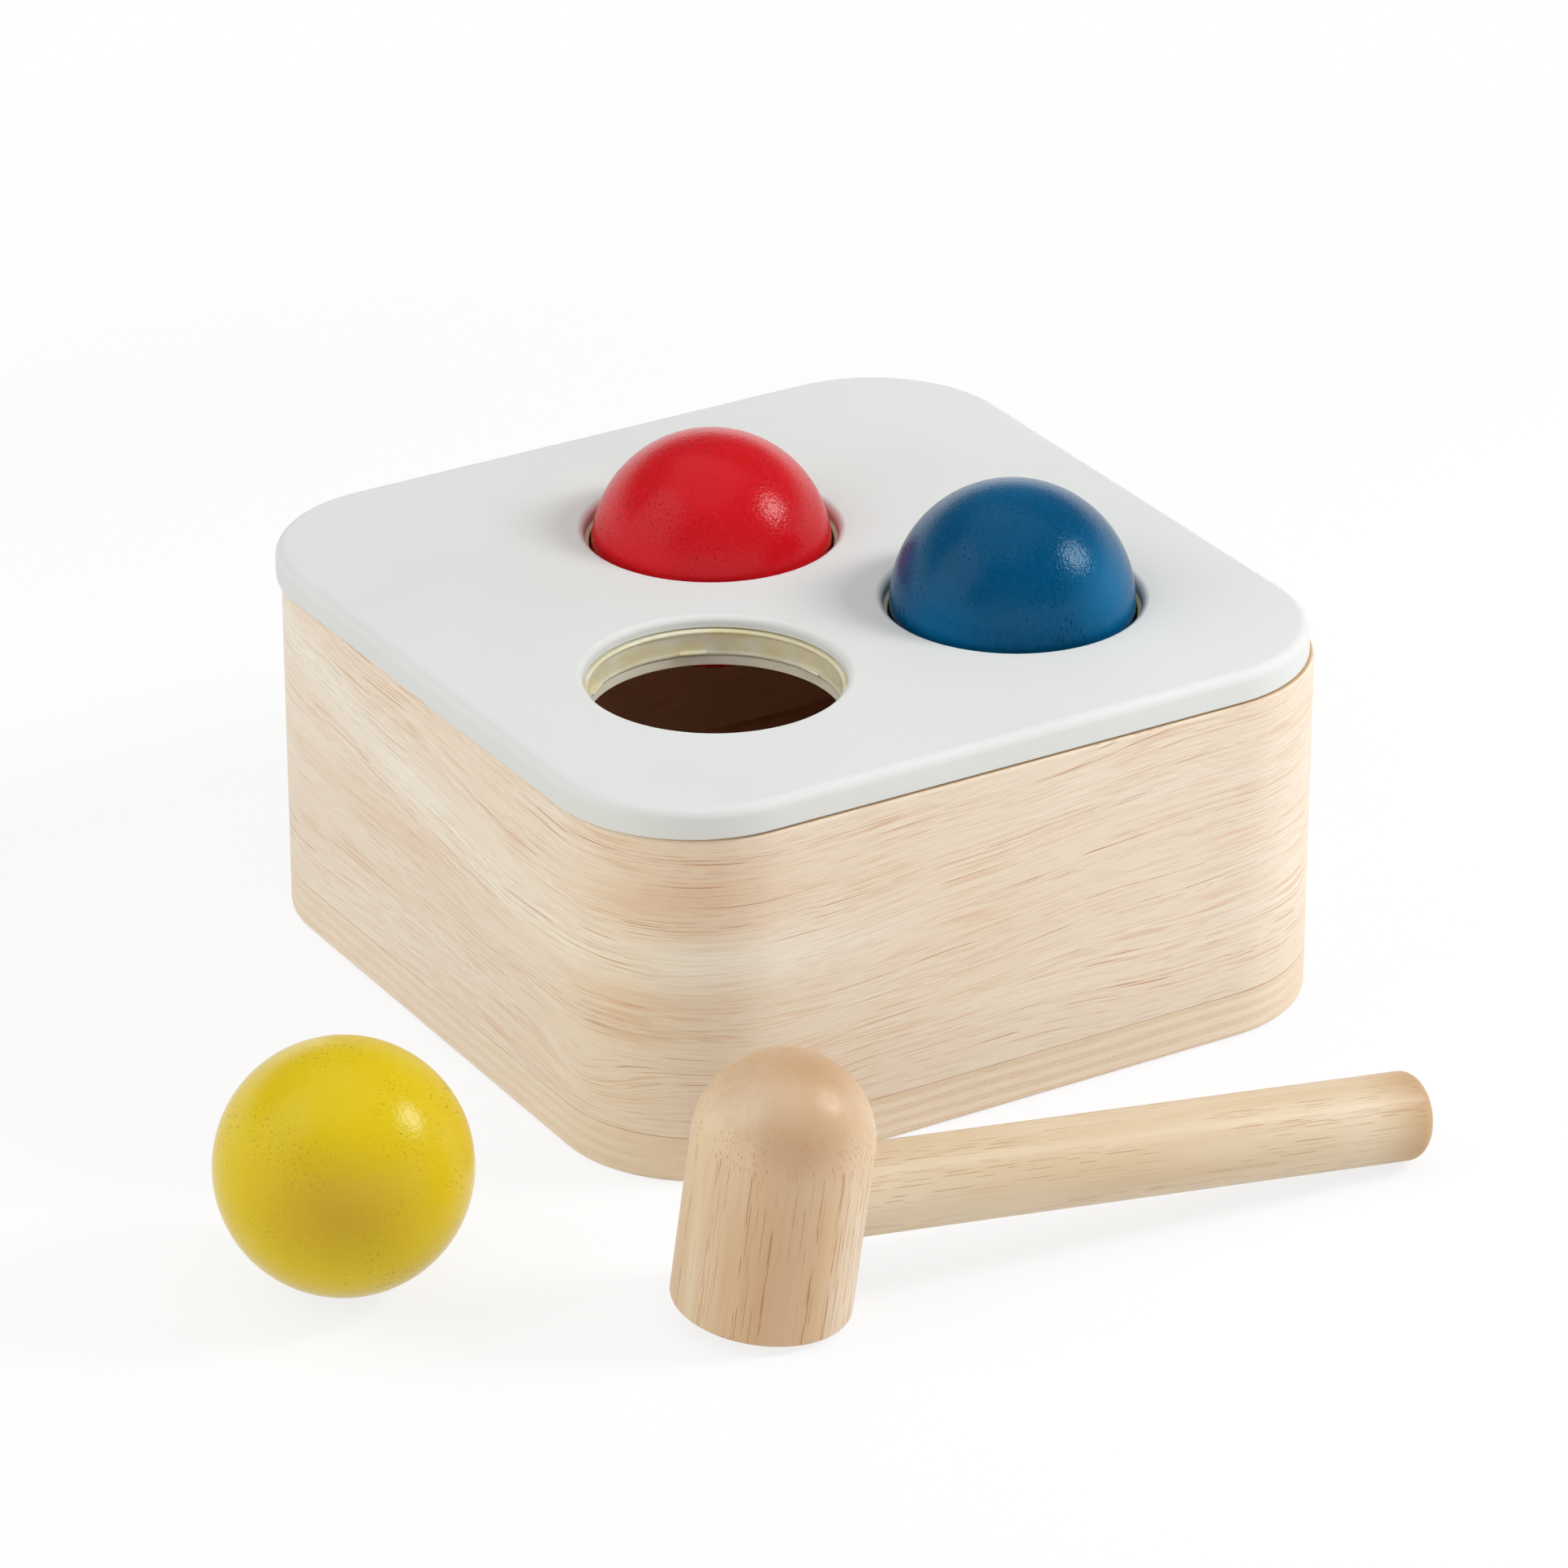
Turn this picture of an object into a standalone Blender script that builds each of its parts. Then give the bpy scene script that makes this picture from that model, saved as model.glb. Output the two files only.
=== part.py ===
"""Ball pounding box: a wooden box with a lift-off lid, three balls in rubber rings, and a hammer."""
import math

import bmesh
import bpy
from mathutils import Matrix

# Driving dimensions, in metres. The box stands on z = 0 with its middle at the origin.
BOX_SIDE = 0.155
CORNER_RADIUS = 0.028
BOX_HEIGHT = 0.0684        # base board and walls together
BASE_STOCK = 0.0090        # plywood board that the walls stand on, flush with them
STOCK = 0.0095             # thickness of the walls and the lid board
WALL_EDGE_ROUND = 0.0012
BASE_EDGE_ROUND = 0.0008
SEAT_GAP = 0.0003          # between pieces that rest on each other or fit together

# Lid: the part above the walls shows, the rest drops inside them
LID_SHOWN = 0.0059
LID_TOP_ROUND = 0.0020
LID_UNDER_ROUND = 0.0008
LID_PLAY = 0.0015          # between the lid's lower part and the walls, all round
LID_SHIFT = -0.0011        # the loose lid lies pushed over to the left

# Holes: an equilateral triangle with one hole at the back
HOLE_SPACING = 0.0638
BORE_RADIUS = 0.0240
BORE_ROUND = 0.0014
BORE_LIP = 0.0022          # depth of the bore above the groove that holds the ring
GROOVE_RADIUS = 0.0255
LEDGE_RADIUS = 0.0234      # bore below the groove

# Retaining rings
RING_HEIGHT = 0.0051
RING_WALL_RADIUS = 0.0235  # inner wall between the bead and the lip
RING_BEAD_RADIUS = 0.0231
RING_BEAD_HEIGHT = 0.0008
RING_LIP_HEIGHT = 0.0012
NUB_COUNT = 6
NUB_START = math.radians(10.0)
NUB_REACH = 0.0219         # radius that a free nub comes in to
NUB_HALF_LENGTH = 0.0033
NUB_HALF_HEIGHT = 0.0006
NUB_ABOVE_BOTTOM = 0.0008

# Balls
BALL_RADIUS = 0.0228
RED_DEPTH = 0.0044         # ball's middle below the lid's top
BLUE_DEPTH = 0.0010
YELLOW_PLACE = (-0.1340, -0.0714)

# Hammer, lying on the rim of its flat face and on the end of its handle
HAMMER_PLACE = (-0.0773, -0.1172)
HAMMER_HEADING = math.radians(-5.2)
HAMMER_ROLL = math.radians(3.4)
HEAD_RADIUS = 0.0160
HEAD_LENGTH = 0.0481
HEAD_DOME = 0.0161
HEAD_RIM_ROUND = 0.0007
HANDLE_RADIUS = 0.0081
HANDLE_REACH = 0.1285      # from the head's axis to the handle's end
HANDLE_HEIGHT = 0.0197     # handle's axis above the head's flat face
HANDLE_END_ROUND = 0.0028
SOCKET_PAST_AXIS = 0.0065  # how far the blind bore runs past the head's axis

# Facets
CORNER_STEPS = 8
RIM_STEPS = 2
TURN_STEPS = 48
ARC_STEPS = 3
DOME_STEPS = 8
BALL_SEGMENTS = 32
BALL_RINGS = 16
NUB_SEGMENTS = 10
NUB_RINGS = 6
BORE_ARC = (100, 180)      # degrees; it starts past its top, so that the cut leaves the lid's face cleanly
BEAD_ARC = (225, 90)
SHARP_ANGLE = math.radians(40)
RIM_ANGLE = math.radians(50)
STEEPEST_LEAN = math.radians(45)
LEAN_HALVINGS = 30
MERGE = 0.00005

# Colours as sRGB, with roughness
FINISHES = {
    "box_walls": ("#E3D2BC", 0.55),
    "base_panel": ("#DFBFA6", 0.60),
    "lid": ("#E2E4DE", 0.45),
    "ring": ("#CAC8B2", 0.35),
    "red_ball": ("#C3232A", 0.35),
    "blue_ball": ("#0A5480", 0.35),
    "yellow_ball": ("#DCC022", 0.35),
    "hammer_head": ("#D3B08A", 0.50),
    "hammer_handle": ("#E0CAA8", 0.50),
}

LID_TOP = BOX_HEIGHT + SEAT_GAP + LID_SHOWN
RING_OUTER = GROOVE_RADIUS - SEAT_GAP
RING_TOP = -BORE_LIP - SEAT_GAP
GROOVE_BOTTOM = RING_TOP - RING_HEIGHT - SEAT_GAP


def clear_scene():
    for item in list(bpy.data.objects):
        bpy.data.objects.remove(item, do_unlink=True)


def new_collection(name):
    group = bpy.data.collections.new(name)
    bpy.context.scene.collection.children.link(group)
    return group


def linear(channel):
    return channel / 12.92 if channel <= 0.04045 else ((channel + 0.055) / 1.055) ** 2.4


def finish(item, name):
    """Give an object a material of its own in the named finish."""
    code, roughness = FINISHES[name]
    rgb = [linear(int(code[i:i + 2], 16) / 255) for i in (1, 3, 5)]
    material = bpy.data.materials.new(item.name)
    material.use_nodes = True
    shader = material.node_tree.nodes["Principled BSDF"]
    shader.inputs["Base Color"].default_value = (*rgb, 1.0)
    shader.inputs["Roughness"].default_value = roughness
    shader.inputs["Metallic"].default_value = 0.0
    item.data.materials.append(material)


def add_object(name, form, group, parent=None, place=(0, 0, 0)):
    """Turn a bmesh into an object, smooth except at its edges."""
    mesh = bpy.data.meshes.new(name)
    form.to_mesh(mesh)
    form.free()
    mesh.shade_smooth()
    mesh.set_sharp_from_angle(angle=SHARP_ANGLE)
    item = bpy.data.objects.new(name, mesh)
    item.parent = parent
    item.location = place
    group.objects.link(item)
    return item


def as_cutter(item):
    item.hide_render = True
    item.display_type = 'WIRE'
    return item


def join_shape(item, other, operation):
    change = item.modifiers.new(other.name, 'BOOLEAN')
    change.operation = operation
    change.solver = 'EXACT'
    change.object = other


def square_block(side, height, corner):
    """A block on z = 0 with round corners seen from above."""
    form = bmesh.new()
    bmesh.ops.create_cube(form, size=1.0)
    bmesh.ops.scale(form, vec=(side, side, height), verts=form.verts)
    bmesh.ops.translate(form, vec=(0, 0, height / 2), verts=form.verts)
    upright = [e for e in form.edges if abs(e.verts[0].co.z - e.verts[1].co.z) > height / 2]
    bmesh.ops.bevel(form, geom=upright, offset=corner, offset_type='OFFSET', segments=CORNER_STEPS,
                    profile=0.5, affect='EDGES')
    return form


def level_face(form, height):
    """The face that lies flat at a height."""
    flat = [f for f in form.faces if abs(f.normal.z) > 0.9]
    return min(flat, key=lambda f: abs(f.calc_center_median().z - height))


def round_rim(form, height, radius):
    rim = list(level_face(form, height).edges)
    bmesh.ops.bevel(form, geom=rim, offset=radius, offset_type='OFFSET', segments=RIM_STEPS,
                    profile=0.5, affect='EDGES')


def arc(centre, radius, start, end, steps):
    """Points (radius, height) along an arc given in degrees."""
    for i in range(steps + 1):
        angle = math.radians(start + (end - start) * i / steps)
        yield centre[0] + radius * math.cos(angle), centre[1] + radius * math.sin(angle)


def turned(name, outline, group, closed=False, parent=None, place=(0, 0, 0)):
    """An outline of (radius, height) points turned about its own z axis."""
    form = bmesh.new()
    points = [form.verts.new((radius, 0, height)) for radius, height in outline]
    for first, second in zip(points, points[1:]):
        form.edges.new((first, second))
    if closed:
        form.edges.new((points[-1], points[0]))
    item = add_object(name, form, group, parent, place)
    screw = item.modifiers.new("turn", 'SCREW')
    screw.steps = TURN_STEPS
    screw.render_steps = TURN_STEPS
    screw.use_merge_vertices = True
    screw.merge_threshold = MERGE
    return item


def build_walls(parts):
    """Bent ring: a block with its middle taken out and its two upper rims softened."""
    height = BOX_HEIGHT - BASE_STOCK - SEAT_GAP
    form = square_block(BOX_SIDE, height, CORNER_RADIUS)
    ends = [level_face(form, 0), level_face(form, height)]
    for end in ends:
        bmesh.ops.inset_region(form, faces=[end], thickness=STOCK, use_even_offset=True)
    mouths = [edge for end in ends for edge in end.edges]
    bmesh.ops.delete(form, geom=ends, context='FACES_ONLY')
    bmesh.ops.bridge_loops(form, edges=mouths)
    rims = [e for e in form.edges if min(v.co.z for v in e.verts) > height - MERGE
            and e.calc_face_angle() > RIM_ANGLE]
    bmesh.ops.bevel(form, geom=rims, offset=WALL_EDGE_ROUND, offset_type='OFFSET', segments=RIM_STEPS,
                    profile=0.5, affect='EDGES')
    walls = add_object("box_walls", form, parts, place=(0, 0, BASE_STOCK + SEAT_GAP))
    finish(walls, "box_walls")


def build_base(parts):
    """Board with the same outline as the walls, softened where it meets the floor."""
    form = square_block(BOX_SIDE, BASE_STOCK, CORNER_RADIUS)
    round_rim(form, 0, BASE_EDGE_ROUND)
    finish(add_object("base_panel", form, parts), "base_panel")


def hole_places():
    """Hole centres on the lid, by the side of the box that they lie at."""
    half = HOLE_SPACING / 2
    depth = HOLE_SPACING * math.sqrt(3) / 4
    return {"back": (0, depth), "right": (half, -depth), "left": (-half, -depth)}


def hole_outline():
    """Turned cut for a hole: a round edge, the bore, the ring's groove and the ledge under it."""
    clear = STOCK
    edge = list(arc((BORE_RADIUS + BORE_ROUND, -BORE_ROUND), BORE_ROUND, *BORE_ARC, ARC_STEPS))
    yield 0, clear
    yield edge[0][0], clear
    yield from edge
    yield BORE_RADIUS, -BORE_LIP
    yield GROOVE_RADIUS, -BORE_LIP
    yield GROOVE_RADIUS, GROOVE_BOTTOM
    yield LEDGE_RADIUS, GROOVE_BOTTOM
    yield LEDGE_RADIUS, -STOCK - clear
    yield 0, -STOCK - clear


def build_lid(parts, cutters):
    """Rebated board: the flange that shows, and the part inset from it that drops inside the walls."""
    form = square_block(BOX_SIDE, LID_SHOWN, CORNER_RADIUS)
    round_rim(form, 0, LID_UNDER_ROUND)
    round_rim(form, LID_SHOWN, LID_TOP_ROUND)
    under = level_face(form, 0)
    rebate = STOCK + LID_PLAY - LID_UNDER_ROUND
    bmesh.ops.inset_region(form, faces=[under], thickness=rebate, use_even_offset=True)
    grown = bmesh.ops.extrude_face_region(form, geom=[under])["geom"]
    bmesh.ops.delete(form, geom=[under], context='FACES_ONLY')
    moved = [v for v in grown if isinstance(v, bmesh.types.BMVert)]
    bmesh.ops.translate(form, vec=(0, 0, LID_SHOWN - STOCK), verts=moved)
    bmesh.ops.translate(form, vec=(0, 0, -LID_SHOWN), verts=form.verts)
    lid = add_object("lid", form, parts, place=(LID_SHIFT, 0, LID_TOP))
    for side, (x, y) in hole_places().items():
        cut = as_cutter(turned(side + "_hole", hole_outline(), cutters, parent=lid, place=(x, y, 0)))
        join_shape(lid, cut, 'DIFFERENCE')
    finish(lid, "lid")
    return lid


def ring_outline():
    """Section of a ring, down its outer side and back up its inner side."""
    bottom = RING_TOP - RING_HEIGHT
    bead = RING_BEAD_HEIGHT / 2
    lip_third = RING_LIP_HEIGHT / 3
    yield RING_OUTER, RING_TOP
    yield RING_OUTER, bottom
    yield RING_BEAD_RADIUS + lip_third, bottom
    yield RING_BEAD_RADIUS, bottom + lip_third
    yield RING_BEAD_RADIUS, bottom + 2 * lip_third
    yield RING_WALL_RADIUS, bottom + RING_LIP_HEIGHT
    yield RING_WALL_RADIUS, RING_TOP - RING_BEAD_HEIGHT
    yield from arc((RING_BEAD_RADIUS + bead, RING_TOP - bead), bead, *BEAD_ARC, ARC_STEPS)


def nub_reach(ball_depth):
    """Radius that the nubs come in to: pressed back where a ball sits against them."""
    if ball_depth is None:
        return NUB_REACH
    below = -RING_TOP + RING_HEIGHT - NUB_ABOVE_BOTTOM - ball_depth
    return max(NUB_REACH, math.sqrt(BALL_RADIUS ** 2 - below ** 2) + SEAT_GAP)


def build_ring(name, lid, place, ball_depth, parts, cutters):
    ring = turned(name, ring_outline(), parts, closed=True, parent=lid, place=(*place, 0))
    form = bmesh.new()
    height = RING_TOP - RING_HEIGHT + NUB_ABOVE_BOTTOM
    inward = RING_WALL_RADIUS - nub_reach(ball_depth)
    for i in range(NUB_COUNT):
        turn = Matrix.Rotation(NUB_START + i * math.tau / NUB_COUNT, 4, 'Z')
        move = Matrix.Translation((RING_WALL_RADIUS, 0, height))
        shape = Matrix.Diagonal((inward, NUB_HALF_LENGTH, NUB_HALF_HEIGHT, 1))
        bmesh.ops.create_uvsphere(form, u_segments=NUB_SEGMENTS, v_segments=NUB_RINGS, radius=1,
                                  matrix=turn @ move @ shape)
    nubs = as_cutter(add_object(name + "_nubs", form, cutters, lid, (*place, 0)))
    join_shape(ring, nubs, 'UNION')
    finish(ring, "ring")


def build_ball(name, place, parts, parent=None):
    form = bmesh.new()
    bmesh.ops.create_uvsphere(form, u_segments=BALL_SEGMENTS, v_segments=BALL_RINGS, radius=BALL_RADIUS)
    finish(add_object(name, form, parts, parent, place), name)


def head_lift(lean):
    """Height of the middle of the head's flat face when the rim round it touches the floor."""
    tilt = math.acos(math.cos(lean) * math.cos(HAMMER_ROLL))
    inner = HEAD_RADIUS - HEAD_RIM_ROUND
    return inner * math.sin(tilt) + HEAD_RIM_ROUND * (1 - math.cos(tilt))


def handle_end_height(lean):
    """Lowest point of the handle's rounded end, with the head's rim on the floor."""
    axis = head_lift(lean) + HANDLE_HEIGHT * math.cos(HAMMER_ROLL) * math.cos(lean)
    drop = (HANDLE_REACH - HANDLE_END_ROUND) * math.sin(lean)
    flat = (HANDLE_RADIUS - HANDLE_END_ROUND) * math.cos(lean)
    return axis - drop - flat - HANDLE_END_ROUND


def hammer_lean():
    """Lean at which the handle's end comes down to the floor too."""
    low, high = 0, STEEPEST_LEAN
    for _ in range(LEAN_HALVINGS):
        lean = (low + high) / 2
        if handle_end_height(lean) > 0:
            low = lean
        else:
            high = lean
    return low


def head_outline():
    """Half section of the head, from the top of the dome down to the flat face."""
    shoulder = HEAD_LENGTH - HEAD_DOME
    for i in range(DOME_STEPS + 1):
        angle = math.pi / 2 * (1 - i / DOME_STEPS)
        yield HEAD_RADIUS * math.cos(angle), shoulder + HEAD_DOME * math.sin(angle)
    yield from arc((HEAD_RADIUS - HEAD_RIM_ROUND, HEAD_RIM_ROUND), HEAD_RIM_ROUND, 0, -90, RIM_STEPS)
    yield 0, 0


def dowel(name, radius, start, end, end_round, group, parent):
    """A rod along its parent's x axis at the handle's height, rounded at its far end."""
    form = bmesh.new()
    bmesh.ops.create_cone(form, cap_ends=True, segments=TURN_STEPS // 2, radius1=radius, radius2=radius,
                          depth=end - start)
    bmesh.ops.translate(form, vec=(0, 0, (end - start) / 2), verts=form.verts)
    if end_round:
        round_rim(form, end - start, end_round)
    lay_down = Matrix.Rotation(math.pi / 2, 4, 'Y')
    bmesh.ops.transform(form, matrix=lay_down, verts=form.verts)
    return add_object(name, form, group, parent, (start, 0, HANDLE_HEIGHT))


def build_hammer(parts, cutters):
    lean = hammer_lean()
    rest = bpy.data.objects.new("hammer_rest", None)
    rest.location = (*HAMMER_PLACE, head_lift(lean))
    rest.rotation_euler = (HAMMER_ROLL, lean, HAMMER_HEADING)
    parts.objects.link(rest)
    head = turned("hammer_head", head_outline(), parts, parent=rest)
    socket = as_cutter(dowel("socket", HANDLE_RADIUS + SEAT_GAP, -SOCKET_PAST_AXIS, 2 * HEAD_RADIUS, 0,
                             cutters, rest))
    join_shape(head, socket, 'DIFFERENCE')
    finish(head, "hammer_head")
    handle = dowel("hammer_handle", HANDLE_RADIUS, SEAT_GAP - SOCKET_PAST_AXIS, HANDLE_REACH,
                   HANDLE_END_ROUND, parts, rest)
    finish(handle, "hammer_handle")


def main():
    clear_scene()
    parts = new_collection("ball_pounding_box")
    cutters = new_collection("cutters")
    build_walls(parts)
    build_base(parts)
    lid = build_lid(parts, cutters)
    holes = hole_places()
    for side, depth in (("back", RED_DEPTH), ("right", BLUE_DEPTH), ("left", None)):
        build_ring(side + "_ring", lid, holes[side], depth, parts, cutters)
    build_ball("red_ball", (*holes["back"], -RED_DEPTH), parts, lid)
    build_ball("blue_ball", (*holes["right"], -BLUE_DEPTH), parts, lid)
    build_ball("yellow_ball", (*YELLOW_PLACE, BALL_RADIUS), parts)
    build_hammer(parts, cutters)


main()
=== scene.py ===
import math
import bmesh
import bpy
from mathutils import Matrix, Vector


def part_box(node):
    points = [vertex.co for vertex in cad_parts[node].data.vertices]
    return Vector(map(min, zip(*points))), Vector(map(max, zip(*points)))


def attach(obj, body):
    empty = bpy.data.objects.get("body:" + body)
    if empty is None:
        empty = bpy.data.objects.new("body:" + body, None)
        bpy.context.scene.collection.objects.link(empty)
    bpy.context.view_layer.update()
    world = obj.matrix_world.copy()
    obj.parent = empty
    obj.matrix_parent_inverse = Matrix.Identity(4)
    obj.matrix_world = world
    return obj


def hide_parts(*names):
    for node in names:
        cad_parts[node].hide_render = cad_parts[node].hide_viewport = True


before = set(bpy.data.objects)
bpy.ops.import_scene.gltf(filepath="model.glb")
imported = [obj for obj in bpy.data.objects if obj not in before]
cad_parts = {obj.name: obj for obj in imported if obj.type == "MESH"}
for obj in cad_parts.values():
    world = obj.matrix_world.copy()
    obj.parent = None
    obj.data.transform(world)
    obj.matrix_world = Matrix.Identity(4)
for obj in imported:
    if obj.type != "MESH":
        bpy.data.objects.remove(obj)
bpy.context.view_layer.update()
print("frame loaded,", len(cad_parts), "nodes")

mm = 0.001
tiny = 0.00001          # metres, for telling heights apart


# selecting and shaping

def clearSelection():
    bpy.ops.object.select_all(action='DESELECT')


def takeUp(piece):
    clearSelection()
    bpy.context.view_layer.objects.active = piece
    piece.select_set(True)


def nameNew(name):
    piece = bpy.context.active_object
    piece.name = name
    piece.data.name = name
    return piece


def startEdit(piece):
    takeUp(piece)
    bpy.ops.object.mode_set(mode='EDIT')


def endEdit():
    bpy.ops.object.mode_set(mode='OBJECT')


def pick(piece, kind, test):
    # selects the edges or faces that pass the test, in edit mode
    bpy.ops.mesh.select_mode(type=kind)
    bpy.ops.mesh.select_all(action='DESELECT')
    form = bmesh.from_edit_mesh(piece.data)
    form.normal_update()
    for item in (form.faces if kind == 'FACE' else form.edges):
        if test(item):
            item.select_set(True)
    bmesh.update_edit_mesh(piece.data)


def isRim(height, angle=50):
    # test for the corner edges of a flat end at a height
    def test(edge):
        level = all(abs(v.co.z - height) < tiny for v in edge.verts)
        return level and edge.is_manifold and edge.calc_face_angle() > math.radians(angle)
    return test


def isLevelFace(height, facing):
    def test(face):
        return face.normal.z * facing > 0.9 and abs(face.calc_center_median().z - height) < tiny
    return test


def roundPicked(radius, segments):
    bpy.ops.mesh.bevel(offset=radius, segments=segments, affect='EDGES', clamp_overlap=True)


def closeUp(piece, smoothAngle):
    # seams merged, faces outwards, smooth except at real edges
    bpy.ops.mesh.select_all(action='SELECT')
    bpy.ops.mesh.remove_doubles(threshold=tiny / 10)
    bpy.ops.mesh.normals_make_consistent(inside=False)
    endEdit()
    takeUp(piece)
    bpy.ops.object.shade_smooth_by_angle(angle=math.radians(smoothAngle))


def combine(piece, tool, operation):
    change = piece.modifiers.new(tool.name, 'BOOLEAN')
    change.object = tool
    change.operation = operation
    change.solver = 'EXACT'
    takeUp(piece)
    bpy.ops.object.modifier_apply(modifier=change.name)
    bpy.data.objects.remove(tool, do_unlink=True)


def keepFlatsFlat(piece):
    # large flat faces rule the shading of the roundings beside them
    weigh = piece.modifiers.new("weighted", 'WEIGHTED_NORMAL')
    weigh.keep_sharp = True
    takeUp(piece)
    bpy.ops.object.modifier_apply(modifier=weigh.name)


def addBlock(name, low, high, cornerRadius, cornerSegments):
    # block with round upright corners, left in edit mode
    clearSelection()
    bpy.ops.mesh.primitive_cube_add(size=1, location=(low + high) / 2, scale=high - low)
    bpy.ops.object.transform_apply(location=True, rotation=True, scale=True)
    piece = nameNew(name)
    startEdit(piece)
    pick(piece, 'EDGE', lambda e: abs(e.verts[0].co.z - e.verts[1].co.z) > tiny)
    roundPicked(cornerRadius, cornerSegments)
    return piece


def arcPoints(centre, radius, start, end, steps):
    for i in range(steps + 1):
        angle = math.radians(start + (end - start) * i / steps)
        yield centre[0] + radius * math.cos(angle), centre[1] + radius * math.sin(angle)


def turnOutline(name, outline, segments, start="flat", end="flat"):
    # a circle extruded and scaled from point to point of (radius, height), as on a lathe
    outline = list(outline)
    radius, height = outline[0]
    clearSelection()
    bpy.ops.mesh.primitive_circle_add(vertices=segments, radius=radius, location=(0, 0, height))
    bpy.ops.object.transform_apply(location=True, rotation=True, scale=True)
    piece = nameNew(name)
    startEdit(piece)
    bpy.ops.mesh.select_mode(type='EDGE')
    bpy.ops.mesh.select_all(action='SELECT')
    for nextRadius, nextHeight in outline[1:]:
        step = (0, 0, nextHeight - height)
        bpy.ops.mesh.extrude_region_move(TRANSFORM_OT_translate={"value": step})
        factor = nextRadius / radius
        bpy.ops.transform.resize(value=(factor, factor, 1), center_override=(0, 0, nextHeight))
        radius, height = nextRadius, nextHeight
    if end == "pole":
        bpy.ops.mesh.merge(type='CENTER')
    elif end == "flat":
        bpy.ops.mesh.edge_face_add()
    if start == "flat":
        pick(piece, 'EDGE', lambda e: e.is_boundary)
        bpy.ops.mesh.edge_face_add()
    return piece


def setDown(piece, place, turn=(0, 0, 0)):
    # moves a finished piece to its place, and keeps that place in its mesh
    takeUp(piece)
    piece.location = place
    piece.rotation_euler = turn
    bpy.ops.object.transform_apply(location=True, rotation=True, scale=True)


def finishPiece(piece, material, body, node, slot):
    piece.data.materials.clear()
    piece.data.materials.append(material)
    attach(piece, body)
    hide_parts(node)
    print("piece", piece.name, len(piece.data.polygons), "faces")


# materials

def linear(code):
    # sRGB hex to the linear values that the shader takes
    channels = [int(code[i:i + 2], 16) / 255 for i in (1, 3, 5)]
    return [c / 12.92 if c <= 0.04045 else ((c + 0.055) / 1.055) ** 2.4 for c in channels] + [1.0]


def addNode(tree, kind, inputs=(), give=0, **settings):
    # one node with its settings; each input, by name or in the node's own order, is linked or set
    node = tree.nodes.new("ShaderNode" + kind)
    for name, value in settings.items():
        setattr(node, name, value)
    for name, value in inputs.items() if isinstance(inputs, dict) else enumerate(inputs):
        if isinstance(value, bpy.types.NodeSocket):
            tree.links.new(value, node.inputs[name])
        else:
            node.inputs[name].default_value = value
    return node.outputs[give]


def startMaterial(name, roughness, ior, gloss=0.5):
    material = bpy.data.materials.new(name)
    material.use_nodes = True
    tree = material.node_tree
    shader = tree.nodes["Principled BSDF"]
    shader.inputs["Roughness"].default_value = roughness
    shader.inputs["IOR"].default_value = ior
    shader.inputs["Specular IOR Level"].default_value = gloss
    return material, tree, shader


def objectPoint(tree, place, turn=(0, 0, 0)):
    # object coordinates in millimetres, from a piece's own middle and turned to its own axes
    coordinate = addNode(tree, "TexCoord", (), "Object")
    return addNode(tree, "Mapping", {"Vector": coordinate, "Location": place, "Rotation": turn,
                                     "Scale": (mm, mm, mm)}, vector_type='TEXTURE')


def softSpot(tree, point, place, sizes):
    # 1 at a place, fading to 0 at sizes, in millimetres, away from it
    moved = addNode(tree, "Mapping", {"Vector": point, "Location": place, "Scale": sizes},
                    vector_type='TEXTURE')
    fade = addNode(tree, "TexGradient", (moved,), "Fac", gradient_type='SPHERICAL')
    return addNode(tree, "MapRange", (fade, 0, 1), interpolation_type='SMOOTHSTEP')


def tonePatches(tree, point, colour, patches):
    # soft patches of another tone, each with its place, sizes and share
    for tone, place, sizes, share in patches:
        spot = addNode(tree, "Math", (softSpot(tree, point, place, sizes), share), operation='MULTIPLY')
        colour = addNode(tree, "MixRGB", (spot, colour, linear(tone)))
    return colour


def stretchedNoise(tree, point, sizes, detail=2.0, roughness=0.5):
    # noise whose features measure sizes, in millimetres, along the three axes
    scaled = addNode(tree, "Mapping", {"Vector": point, "Scale": [1 / size for size in sizes]})
    return addNode(tree, "TexNoise", {"Vector": scaled, "Scale": 1.0, "Detail": detail,
                                      "Roughness": roughness})


vesselShape = {"widths": (0.6, 1.3), "softEdge": 0.55, "shift": 50.0, "breakEdge": 0.06, "groupEdge": 0.08}


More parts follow.
